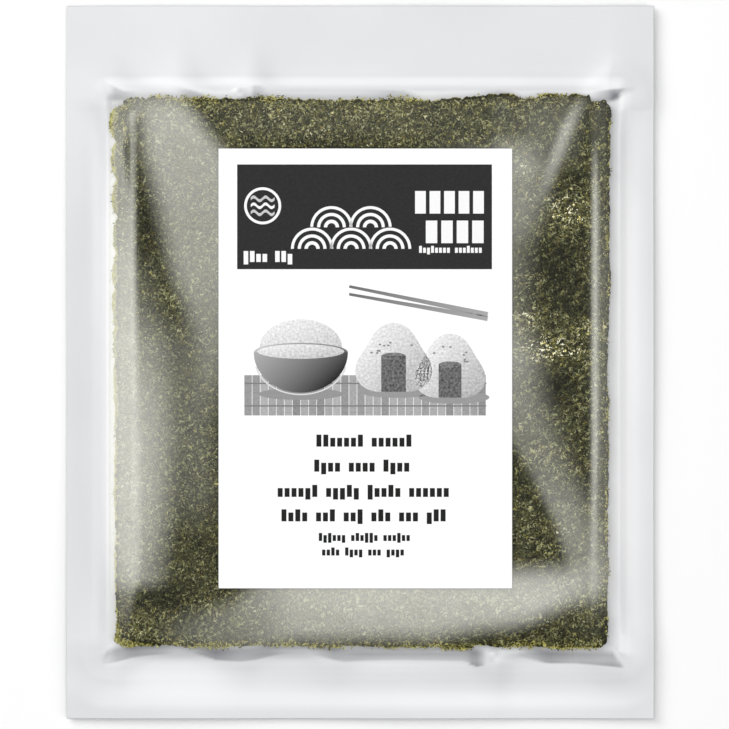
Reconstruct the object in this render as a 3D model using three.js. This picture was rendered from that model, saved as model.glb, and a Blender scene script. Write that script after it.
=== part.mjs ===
// A sealed pack of dried seaweed sheets, lying flat with its clear front up.
// Millimetres, +Z up. The origin is under the middle of the pack, on the surface it lies on,
// and +Y points to the top edge of the pack.

import * as THREE from 'three';

// Driving dimensions

const pouch = { width: 220, length: 267 };
const stack = { width: 190, length: 208, height: 12, x: 1.2, y: -3.7 };
const label = { width: 110, length: 165, thickness: 0.25, x: 1.9, y: -2.3, gap: 0.3 };

// The flange is the welded border of the two films. It rises a little above the ground.
const flange = { thickness: 0.7, rise: 2.2, run: 12, wave: 0.45, waveLength: 95 };

// The top of the stack is a little domed, and rounds off towards each side over a run.
const crown = 0.6;
const shoulders = {
  left: { drop: 1.3, run: 10 },
  right: { drop: 1.1, run: 8 },
  bottom: { drop: 1.9, run: 20 },
  top: { drop: 0.9, run: 6 },
};

// The front film comes down beside the stack and fades out over this reach. At a tent, a point of
// the stack's outline given from the stack's middle, it stands out further over some width.
const shoulderReach = 2.6;
const tents = [
  { x: -95, y: 104, width: 8, reach: 3 },
  { x: -68, y: 104, width: 7, reach: 3 },
  { x: -41, y: 104, width: 6, reach: 2.5 },
  { x: 95, y: 104, width: 7, reach: 4.5 },
  { x: -95, y: -104, width: 9, reach: 4 },
  { x: -46, y: -104, width: 7, reach: 2 },
  { x: -12, y: -104, width: 8, reach: 2 },
  { x: 49, y: -104, width: 6, reach: 3.5 },
  { x: 95, y: -104, width: 9, reach: 4 },
];

// Cells of the height field: the border before the stack, the stack, and the border after it.
const cellsAcross = [7, 34, 7];
const cellsAlong = [8, 28, 10];
const labelCells = [10, 15];

const smoothStep = THREE.MathUtils.smoothstep;

// Heights

// Signed distances of a point from the stack's outline, positive outside it.
function outside(x, y) {
  return {
    across: Math.abs(x - stack.x) - stack.width / 2,
    along: Math.abs(y - stack.y) - stack.length / 2,
  };
}

// Distance of a point from the stack's outline, 0 over the stack.
function distance({ across, along }) {
  return Math.hypot(Math.max(across, 0), Math.max(along, 0));
}

// The underside is flat below the stack, and the border rises from it with a slow wave.
function undersideHeight(x, y) {
  const share = smoothStep(distance(outside(x, y)), 0, flange.run);
  const wave = flange.wave * Math.sin((2 * Math.PI * (x + 0.7 * y)) / flange.waveLength);
  return share * (flange.rise + wave);
}

// How far the front film stands out at a point, going by the nearest point of the stack's outline.
function reachAt(x, y) {
  const nearX = THREE.MathUtils.clamp(x - stack.x, -stack.width / 2, stack.width / 2);
  const nearY = THREE.MathUtils.clamp(y - stack.y, -stack.length / 2, stack.length / 2);
  return tents.reduce((reach, tent) => {
    const away = Math.hypot(nearX - tent.x, nearY - tent.y) / tent.width;
    return reach + tent.reach * Math.exp(-away * away);
  }, shoulderReach);
}

function shoulderDrop(shoulder, inside) {
  return shoulder.drop * THREE.MathUtils.clamp(1 - inside / shoulder.run, 0, 1) ** 2;
}

// Height of the film over the stack, domed in the middle and rounded off at its sides.
function stackTop(x, y) {
  const { across, along } = outside(x, y);
  const u = Math.min(Math.abs(x - stack.x) / (stack.width / 2), 1);
  const v = Math.min(Math.abs(y - stack.y) / (stack.length / 2), 1);
  const side = x < stack.x ? shoulders.left : shoulders.right;
  const end = y < stack.y ? shoulders.bottom : shoulders.top;
  const dome = crown * (1 - u * u) * (1 - v * v);
  return stack.height + dome - shoulderDrop(side, -across) - shoulderDrop(end, -along);
}

function topHeight(x, y) {
  const fade = Math.exp(-distance(outside(x, y)) / reachAt(x, y));
  return undersideHeight(x, y) + flange.thickness + stackTop(x, y) * fade;
}

// Grids

function evenLines(low, high, cells) {
  return Array.from({ length: cells + 1 }, (_, i) => low + ((high - low) * i) / cells);
}

// Grid lines over the pack, with the stack's two edges on grid lines.
function packLines(size, stackMiddle, stackSize, [before, over, after]) {
  const low = stackMiddle - stackSize / 2;
  const high = stackMiddle + stackSize / 2;
  return [
    ...evenLines(-size / 2, low, before).slice(0, -1),
    ...evenLines(low, high, over),
    ...evenLines(high, size / 2, after).slice(1),
  ];
}

// A body between two height fields on one grid. Each cell is split along its flatter diagonal.
// A cell range given as flat is closed below by a fan of triangles in one plane, because the body
// lies on it.
function heightBody(xs, ys, lowHeight, highHeight, flat = null) {
  const columns = xs.length;
  const positions = [];
  const indices = [];
  for (const height of [lowHeight, highHeight]) {
    for (const y of ys) for (const x of xs) positions.push(x, y, height(x, y));
  }
  const at = (layer, i, j) => layer * columns * ys.length + j * columns + i;
  const corners = (layer, i, j) => {
    return [at(layer, i, j), at(layer, i + 1, j), at(layer, i + 1, j + 1), at(layer, i, j + 1)];
  };
  const isFlat = (i, j) => flat && i >= flat.x[0] && i < flat.x[1] && j >= flat.y[0] && j < flat.y[1];

  for (let j = 0; j < ys.length - 1; j += 1) {
    for (let i = 0; i < columns - 1; i += 1) {
      indices.push(...splitCell(positions, corners(1, i, j)));
      if (!isFlat(i, j)) indices.push(...splitCell(positions, corners(0, i, j).reverse()));
    }
  }
  for (const [i, j] of loopPoints(0, columns - 1, 0, ys.length - 1)) {
    const [nextI, nextJ] = nextPoint(i, j, 0, columns - 1, 0, ys.length - 1);
    indices.push(at(0, i, j), at(0, nextI, nextJ), at(1, nextI, nextJ));
    indices.push(at(0, i, j), at(1, nextI, nextJ), at(1, i, j));
  }
  if (flat) {
    const middle = positions.length / 3;
    positions.push((xs[flat.x[0]] + xs[flat.x[1]]) / 2, (ys[flat.y[0]] + ys[flat.y[1]]) / 2, 0);
    for (const [i, j] of loopPoints(...flat.x, ...flat.y)) {
      const [nextI, nextJ] = nextPoint(i, j, ...flat.x, ...flat.y);
      indices.push(at(0, nextI, nextJ), at(0, i, j), middle);
    }
  }

  const geometry = new THREE.BufferGeometry();
  geometry.setAttribute('position', new THREE.Float32BufferAttribute(positions, 3));
  geometry.setIndex(indices);
  geometry.computeVertexNormals();
  return geometry;
}

// Two triangles for a cell's four corners, which go round it.
function splitCell(positions, [a, b, c, d]) {
  const step = (from, to) => Math.abs(positions[3 * from + 2] - positions[3 * to + 2]);
  return step(a, c) < step(b, d) ? [a, b, c, a, c, d] : [a, b, d, b, c, d];
}

// The next grid point, anticlockwise, on the outline of a range of cells.
function nextPoint(i, j, lowI, highI, lowJ, highJ) {
  if (j === lowJ && i < highI) return [i + 1, j];
  if (i === highI && j < highJ) return [i, j + 1];
  if (j === highJ && i > lowI) return [i - 1, j];
  return [i, j - 1];
}

// All grid points on the outline of a range of cells, in that order.
function loopPoints(lowI, highI, lowJ, highJ) {
  const points = [[lowI, lowJ]];
  const count = 2 * (highI - lowI + highJ - lowJ);
  while (points.length < count) {
    const [i, j] = points[points.length - 1];
    points.push(nextPoint(i, j, lowI, highI, lowJ, highJ));
  }
  return points;
}

// Sub-parts

function namedMesh(name, geometry, color, roughness) {
  const material = new THREE.MeshStandardMaterial({ color, roughness, metalness: 0 });
  const mesh = new THREE.Mesh(geometry, material);
  mesh.name = name;
  return mesh;
}

// The filled pouch: the stack with the films drawn over it and welded round it.
function makePouch() {
  const xs = packLines(pouch.width, stack.x, stack.width, cellsAcross);
  const ys = packLines(pouch.length, stack.y, stack.length, cellsAlong);
  const flat = {
    x: [cellsAcross[0], cellsAcross[0] + cellsAcross[1]],
    y: [cellsAlong[0], cellsAlong[0] + cellsAlong[1]],
  };
  return namedMesh('pouch', heightBody(xs, ys, undersideHeight, topHeight, flat), 0x74745a, 0.2);
}

// The paper label, which follows the film that it lies on.
function makeLabel() {
  const xs = evenLines(label.x - label.width / 2, label.x + label.width / 2, labelCells[0]);
  const ys = evenLines(label.y - label.length / 2, label.y + label.length / 2, labelCells[1]);
  const underside = (x, y) => topHeight(x, y) + label.gap;
  const face = (x, y) => underside(x, y) + label.thickness;
  return namedMesh('label', heightBody(xs, ys, underside, face), 0xf6f6f4, 0.6);
}

const pack = new THREE.Group();
pack.add(makePouch(), makeLabel());

export default pack;
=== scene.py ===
# A sealed pack of dried seaweed sheets, lying flat with its clear front up.
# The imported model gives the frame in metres. Shapes are worked out here in millimetres, from the
# same named sizes as the model's, and turned into metres where a mesh is made.
import math
import bpy
import numpy as np
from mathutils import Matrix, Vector


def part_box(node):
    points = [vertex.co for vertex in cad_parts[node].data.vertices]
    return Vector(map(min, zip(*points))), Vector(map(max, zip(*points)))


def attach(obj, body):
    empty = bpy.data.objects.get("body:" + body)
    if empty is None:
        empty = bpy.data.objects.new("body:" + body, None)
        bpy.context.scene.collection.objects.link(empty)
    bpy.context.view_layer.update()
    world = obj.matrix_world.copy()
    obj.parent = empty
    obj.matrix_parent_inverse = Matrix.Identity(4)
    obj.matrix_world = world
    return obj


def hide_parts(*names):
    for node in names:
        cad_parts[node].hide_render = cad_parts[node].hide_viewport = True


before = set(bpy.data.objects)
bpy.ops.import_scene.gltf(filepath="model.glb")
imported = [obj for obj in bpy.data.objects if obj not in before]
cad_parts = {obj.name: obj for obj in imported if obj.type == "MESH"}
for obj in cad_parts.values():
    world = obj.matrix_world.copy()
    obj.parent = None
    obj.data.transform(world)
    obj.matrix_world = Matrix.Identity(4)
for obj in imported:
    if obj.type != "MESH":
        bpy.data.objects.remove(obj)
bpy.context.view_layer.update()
mm = 0.001
pouchLow, pouchHigh = (np.array(corner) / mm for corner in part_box("pouch"))
labelLow, labelHigh = (np.array(corner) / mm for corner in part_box("label"))


def makeMesh(name, points, faces, values=None, smooth=True):
    # points: rows of x, y, z in millimetres. faces: rows of 3 or 4 point numbers, in one array or
    # in a list of arrays. values: one number for each point, by attribute name.
    faces = faces if isinstance(faces, list) else [faces]
    points = np.asarray(points, float).reshape(-1, 3)
    corners = np.concatenate([part.ravel() for part in faces]).astype(np.int32)
    sizes = np.concatenate([np.full(len(part), part.shape[1]) for part in faces])
    starts = np.concatenate([[0], np.cumsum(sizes)[:-1]]).astype(np.int32)
    mesh = bpy.data.meshes.new(name)
    mesh.vertices.add(len(points))
    mesh.vertices.foreach_set("co", (points * mm).astype(np.float32).ravel())
    mesh.loops.add(len(corners))
    mesh.loops.foreach_set("vertex_index", corners)
    mesh.polygons.add(len(sizes))
    mesh.polygons.foreach_set("loop_start", starts)
    mesh.polygons.foreach_set("use_smooth", np.full(len(sizes), smooth))
    for key, numbers in (values or {}).items():
        layer = mesh.attributes.new(key, "FLOAT", "POINT")
        layer.data.foreach_set("value", np.asarray(numbers, np.float32).ravel())
    mesh.update(calc_edges=True)
    mesh.validate()
    piece = bpy.data.objects.new(name, mesh)
    bpy.context.scene.collection.objects.link(piece)
    return piece


def gridFaces(rows, columns, closed=False):
    # Quads between neighbouring rows and columns. closed joins the last column to the first.
    row, column = np.meshgrid(np.arange(rows - 1), np.arange(columns - (not closed)), indexing="ij")
    after = (column + 1) % columns
    here, there = row * columns, (row + 1) * columns
    return np.stack([here + column, here + after, there + after, there + column], -1).reshape(-1, 4)


def thicken(piece, thickness):
    # A wall of this thickness below the piece's own surface.
    wall = piece.modifiers.new("wall", "SOLIDIFY")
    wall.thickness = thickness * mm
    wall.offset = -1.0
    return piece


def finishPiece(piece, material, node):
    # Every piece rides on the pack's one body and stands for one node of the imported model.
    piece.data.materials.append(material)
    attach(piece, "root")
    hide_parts(node)
    return piece


def smoothShare(value, low, high):
    # 0 below low, 1 above high, and the cubic 3t^2 - 2t^3 between.
    share = np.clip((value - low) / (high - low), 0, 1)
    return share * share * (3 - 2 * share)


def between(place, stations):
    # The height at a place, in straight lines between stations of a place and a height.
    places, heights = np.array(stations).T
    return np.interp(place, places, heights)


def loopNoise(count, knots, rng):
    # Random heights from -1 to 1 at even knots of a closed loop, joined by cosine steps.
    heights = rng.uniform(-1, 1, knots)
    place = np.arange(count) / count * knots
    knot = place.astype(int)
    share = 0.5 - 0.5 * np.cos(np.pi * (place - knot))
    return heights[knot % knots] * (1 - share) + heights[(knot + 1) % knots] * share


def areaWaves(x, y, waves, rng):
    # Sum of plane sine waves, each of a length and a height, with a random heading and phase.
    total = np.zeros(np.broadcast(x, y).shape)
    for length, height in waves:
        heading, phase = rng.uniform(0, 2 * np.pi, 2)
        total += height * np.sin((x * np.cos(heading) + y * np.sin(heading)) * 2 * np.pi / length + phase)
    return total


def strokeShare(x, y, startX, startY, endX, endY, startWidth, endWidth):
    # A soft line between two points: a bell curve across it, whose half-width runs from one
    # number to the other. Gives that bell and how far along the line each point is, from 0 to 1.
    length = math.hypot(endX - startX, endY - startY)
    alongX, alongY = (endX - startX) / length, (endY - startY) / length
    run = (x - startX) * alongX + (y - startY) * alongY
    share = np.clip(run / length, 0, 1)
    beyond = run - share * length
    away = (x - startX) * alongY - (y - startY) * alongX
    width = startWidth + (endWidth - startWidth) * share
    return np.exp(-(away ** 2 + beyond ** 2) / width ** 2), share


packShape = {
    "stackWidth": 190.0, "stackLength": 208.0, "stackHeight": 12.0, "stackX": 1.2, "stackY": -3.7,
    "flangeThickness": 0.7, "flangeRise": 2.2, "flangeRun": 12.0,
    "flangeWave": 0.45, "waveLength": 95.0, "waveSlant": 0.7,
    "crown": 0.6,
    "left": (1.3, 10.0), "right": (1.1, 8.0), "bottom": (1.9, 20.0), "top": (0.9, 6.0),  # drop, run
    "reach": 2.6,
    "tents": [  # x, y from the middle of the stack, width, reach
        (-95, 104, 8, 3), (-68, 104, 7, 3), (-41, 104, 6, 2.5), (95, 104, 7, 4.5),
        (-95, -104, 9, 4), (-46, -104, 7, 2), (-12, -104, 8, 2), (49, -104, 6, 3.5), (95, -104, 9, 4),
    ],
}
middleX, middleY = packShape["stackX"], packShape["stackY"]
halfWidth, halfLength = packShape["stackWidth"] / 2, packShape["stackLength"] / 2


def outside(x, y):
    # Signed distances beyond the stack's sides and ends, and the plain distance from its outline.
    across, along = np.abs(x - middleX) - halfWidth, np.abs(y - middleY) - halfLength
    return across, along, np.hypot(np.maximum(across, 0), np.maximum(along, 0))


def keepInside(x, y, inset=0.0):
    # Points drawn in to the stack's outline, less an inset all round.
    reachX, reachY = halfWidth - inset, halfLength - inset
    return (np.clip(x, middleX - reachX, middleX + reachX),
            np.clip(y, middleY - reachY, middleY + reachY))


def packSides(x, y):
    # The four sides of the stack: name, which points are in its half of the pack, and whether it
    # is the left or the right one.
    return [("left", x < middleX, True), ("right", x >= middleX, True),
            ("bottom", y < middleY, False), ("top", y >= middleY, False)]


def undersideHeight(x, y):
    # Flat under the stack, then a smooth rise over the border with a slow wave on it.
    place = (x + packShape["waveSlant"] * y) / packShape["waveLength"]
    wave = packShape["flangeWave"] * np.sin(place * 2 * np.pi)
    return smoothShare(outside(x, y)[2], 0, packShape["flangeRun"]) * (packShape["flangeRise"] + wave)


def shoulderReach(x, y):
    # The film's reach beyond the stack: a plain one, and a bell curve more at each tent.
    nearX, nearY = keepInside(x, y)
    reach = packShape["reach"]
    for tentX, tentY, width, more in packShape["tents"]:
        away = np.hypot(nearX - middleX - tentX, nearY - middleY - tentY)
        reach = reach + more * np.exp(-(away / width) ** 2)
    return reach


def stackTop(x, y):
    # The stack's height with its dome, less a drop towards each side that grows as a square.
    across, along, distance = outside(x, y)
    u = np.minimum(np.abs(x - middleX) / halfWidth, 1)
    v = np.minimum(np.abs(y - middleY) / halfLength, 1)
    height = packShape["stackHeight"] + packShape["crown"] * (1 - u * u) * (1 - v * v)
    for side, isHere, isSideways in packSides(x, y):
        drop, run = packShape[side]
        inside = -across if isSideways else -along
        height = height - isHere * drop * np.clip(1 - inside / run, 0, 1) ** 2
    return height


def packTop(x, y):
    # The stack's height fades out beyond its outline, on top of the welded border.
    fade = np.exp(-outside(x, y)[2] / shoulderReach(x, y))
    return undersideHeight(x, y) + packShape["flangeThickness"] + stackTop(x, y) * fade


class Wire:
    # One output socket of a material's nodes. Sums of wires and numbers add Math nodes.
    def __init__(self, tree, socket=None):
        self.tree = tree
        self.socket = socket

    def node(self, kind, settings=None, inputs=None, output=0):
        # The settings are set first, then the sockets get their values or links.
        made = self.tree.nodes.new(kind)
        for name, value in (settings or {}).items():
            if name == "stops":
                stops = made.color_ramp.elements
                for number, (position, colour) in enumerate(value):
                    stop = stops[number] if number < len(stops) else stops.new(position)
                    stop.position = position
                    stop.color = (*colour, 1)
            else:
                setattr(made, name, value)
        for name, value in (inputs or {}).items():
            if isinstance(value, Wire):
                self.tree.links.new(value.socket, made.inputs[name])
            else:
                made.inputs[name].default_value = value
        return Wire(self.tree, made.outputs[output])

    def maths(self, operation, *values):
        return self.node("ShaderNodeMath", {"operation": operation}, dict(enumerate(values)))

    def __add__(self, other):
        return self.maths("ADD", self, other)

    def __sub__(self, other):
        return self.maths("SUBTRACT", self, other)

    def __rsub__(self, other):
        return self.maths("SUBTRACT", other, self)

    def __mul__(self, other):
        return self.maths("MULTIPLY", self, other)

    def __pow__(self, other):
        return self.maths("POWER", self, other)

    __radd__ = __add__
    __rmul__ = __mul__

    def smooth(self, low, high):
        # 0 at low and 1 at high, with a smooth step between.
        sockets = {"Value": self, "From Min": low, "From Max": high}
        return self.node("ShaderNodeMapRange", {"interpolation_type": "SMOOTHSTEP"}, sockets)

    def limit(self):
        # Held between 0 and 1.
        return self.node("ShaderNodeClamp", None, {"Value": self})

    def noise(self, scale, detail=2.0, roughness=0.5, stretch=(1, 1, 1), distortion=0.0):
        # scale counts waves in a metre.
        place = self.node("ShaderNodeTexCoord", output="Object")
        mapped = self.node("ShaderNodeMapping", None, {"Vector": place, "Scale": stretch})
        return self.node("ShaderNodeTexNoise", None, {
            "Vector": mapped, "Scale": scale, "Detail": detail, "Roughness": roughness,
            "Distortion": distortion})

    def attribute(self, name):
        return self.node("ShaderNodeAttribute", {"attribute_name": name}, output="Fac")

    def blend(self, share, first, second):
        # A colour between two others.
        return self.node("ShaderNodeMix", {"data_type": "RGBA"}, {0: share, 6: first, 7: second}, 2)

    def ramp(self, *stops):
        return self.node("ShaderNodeValToRGB", {"stops": stops}, {"Fac": self})

    def bump(self, strength, depth):
        # self is the height, and depth is its full depth in millimetres.
        sockets = {"Height": self, "Strength": strength, "Distance": depth * mm}
        return self.node("ShaderNodeBump", None, sockets)

    def principled(self, **inputs):
        # Names of sockets are written with their spaces left out.
        named = {"BaseColor": "Base Color", "Specular": "Specular IOR Level"}
        sockets = {named.get(name, name): value for name, value in inputs.items()}
        return self.node("ShaderNodeBsdfPrincipled", None, sockets)

    def mixShaders(self, share, first, second):
        return self.node("ShaderNodeMixShader", None, {0: share, 1: first, 2: second})

    def surface(self, shader):
        made = self.tree.nodes.new("ShaderNodeOutputMaterial")
        self.tree.links.new(shader.socket, made.inputs["Surface"])


def newMaterial(name):
    # An empty material, and the wire that its nodes start from.
    material = bpy.data.materials.new(name)
    material.use_nodes = True
    material.node_tree.nodes.clear()
    return material, Wire(material.node_tree)


def linear(colour):
    # An sRGB colour from 0 to 255 as linear light.
    shares = np.array(colour) / 255
    return tuple(np.where(shares < 0.04045, shares / 12.92, ((shares + 0.055) / 1.055) ** 2.4).tolist())


def clearFilmMaterial():
    # Thin clear film. It mirrors at grazing angles, less so towards its welded rim. Where the painted
    # highlight attribute is high, a broad soft gloss is mixed in, a painted highlight lit by the lamps.
    material, wire = newMaterial("clearFilm")
    ripple = wire.noise(60, 2) * 0.7 + wire.noise(420, 1) * 0.06
    facing = wire.node("ShaderNodeLayerWeight", None, {"Blend": 0.5}, output="Facing")
    clear = wire.node("ShaderNodeBsdfTransparent")
    mirror = wire.principled(BaseColor=(0.97, 0.98, 1, 1), Metallic=1.0, Roughness=0.12,
                             Normal=ripple.bump(0.12, 1.0))
    gloss = wire.principled(BaseColor=(0.97, 0.97, 0.91, 1), Metallic=1.0, Roughness=0.55)
    cloud = wire.noise(110, 3, 0.55) * 0.3 + 0.85
    share = wire.attribute("paintedHighlight") * cloud * 0.235
    mirrored = wire.mixShaders(facing ** 5 * wire.attribute("free") * 0.9 + 0.001, clear, mirror)
    wire.surface(wire.mixShaders(share, mirrored, gloss))
    return material


def paleFilmMaterial():
    # Opaque cool white film with a slow unevenness. The shade attribute is painted shade and light:
    # above 0 it darkens the film to blue-grey as painted shadow beside the stack, below 0 it lightens it.
    material, wire = newMaterial("paleFilm")
    tone = wire.noise(18, 2).smooth(0.3, 0.7)
    plain = wire.blend(tone, (0.61, 0.617, 0.63, 1), (0.64, 0.647, 0.66, 1))
    shade = wire.attribute("shade")
    lit = wire.blend((shade * -1.0).limit(), plain, (0.93, 0.93, 0.935, 1))
    colour = wire.blend(shade.limit(), lit, (0.15, 0.15, 0.17, 1))
    relief = wire.noise(45, 3, 0.45)
    wire.surface(wire.principled(BaseColor=colour, Roughness=0.45, Specular=0.3,
                                 Normal=relief.bump(0.2, 0.6)))
    return material


seaweedColours = {  # dark, middle, light, and that of an edge or a glint
    "sheetColours": [(14, 14, 8), (42, 42, 25), (92, 91, 55), (168, 165, 88)],
    "flakeColours": [(26, 26, 16), (94, 95, 65), (158, 159, 122), (252, 250, 225)],
    "crumbColours": [(54, 51, 28), (130, 126, 66), (186, 181, 106), (214, 210, 142)],
    "fibreColours": [(60, 52, 30), (130, 118, 66), (180, 160, 92), (240, 232, 180)],
}


def seaweedMaterial(name):
    # Mottled olive: broad patches, curled short fibres in two headings, and a thin yellow-green rim
    # in places where the edge attribute is 1.
    dark, middle, light, edge = (linear(colour) for colour in seaweedColours[name])
    material, wire = newMaterial(name)
    patches = wire.noise(90, 3, 0.6)
    fibres = wire.noise(720, 3, 0.7, (1, 2.2, 1), 0.9)
    crossing = wire.noise(680, 3, 0.7, (2.4, 1, 1), 1.1)
    mixed = fibres * 0.5 + crossing * 0.5 + (patches - 0.5) * 0.35
    body = mixed.ramp((0.42, dark), (0.52, middle), (0.66, light))
    rough = wire.noise(650, 3) * 0.9 + wire.noise(70, 2) * 0.9
    colour = wire.blend((wire.attribute("edge") + rough - 1.0).smooth(0.72, 1.15), body, (*edge, 1))
    wire.surface(wire.principled(BaseColor=colour, Roughness=0.5, Specular=0.1,
                                 Normal=mixed.bump(0.8, 0.3)))
    return material


def flakeMaterial(name):
    # Each flake has a tone of its own, from dark olive to straw, and past 1 to the colour of a
    # glint. Where the gold attribute is high it is tinted towards yellow.
    dark, middle, light, glint = (linear(colour) for colour in seaweedColours[name])
    material, wire = newMaterial(name)
    grain = wire.noise(1500, 2)
    tone = wire.attribute("tone") + (grain - 0.5) * 0.3
    plain = (tone * 0.5).ramp((0.02, dark), (0.25, middle), (0.5, light), (1.0, glint))
    tint = {0: plain, 1: (1.12, 1.0, 0.42)}
    golden = wire.node("ShaderNodeVectorMath", {"operation": "MULTIPLY"}, tint)
    colour = wire.blend(wire.attribute("gold"), plain, golden)
    wire.surface(wire.principled(BaseColor=colour, Roughness=0.45, Specular=0.15))
    return material


def paperMaterial():
    # Coated white paper with a faint fibre cloud.
    material, wire = newMaterial("labelPaper")
    cloud = wire.noise(700, 3)
    colour = wire.blend(cloud, (0.83, 0.83, 0.83, 1), (0.87, 0.87, 0.87, 1))
    wire.surface(wire.principled(BaseColor=colour, Roughness=0.55, Normal=cloud.bump(0.1, 0.02)))
    return material


def inkMaterial():
    # Grey print: the grey attribute runs from black at 0 to paper white at 1, and the grain
    # attribute says how much fine speckle lies on it.
    material, wire = newMaterial("labelInk")
    speckle = wire.noise(1100, 3, 0.6) - 0.5
    grey = wire.attribute("grey") + speckle * wire.attribute("grain")
    colour = grey.ramp((0.0, (0.002,) * 3), (1.0, (0.84,) * 3))
    wire.surface(wire.principled(BaseColor=colour, Roughness=0.6, Specular=0.2))
    return material


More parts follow.
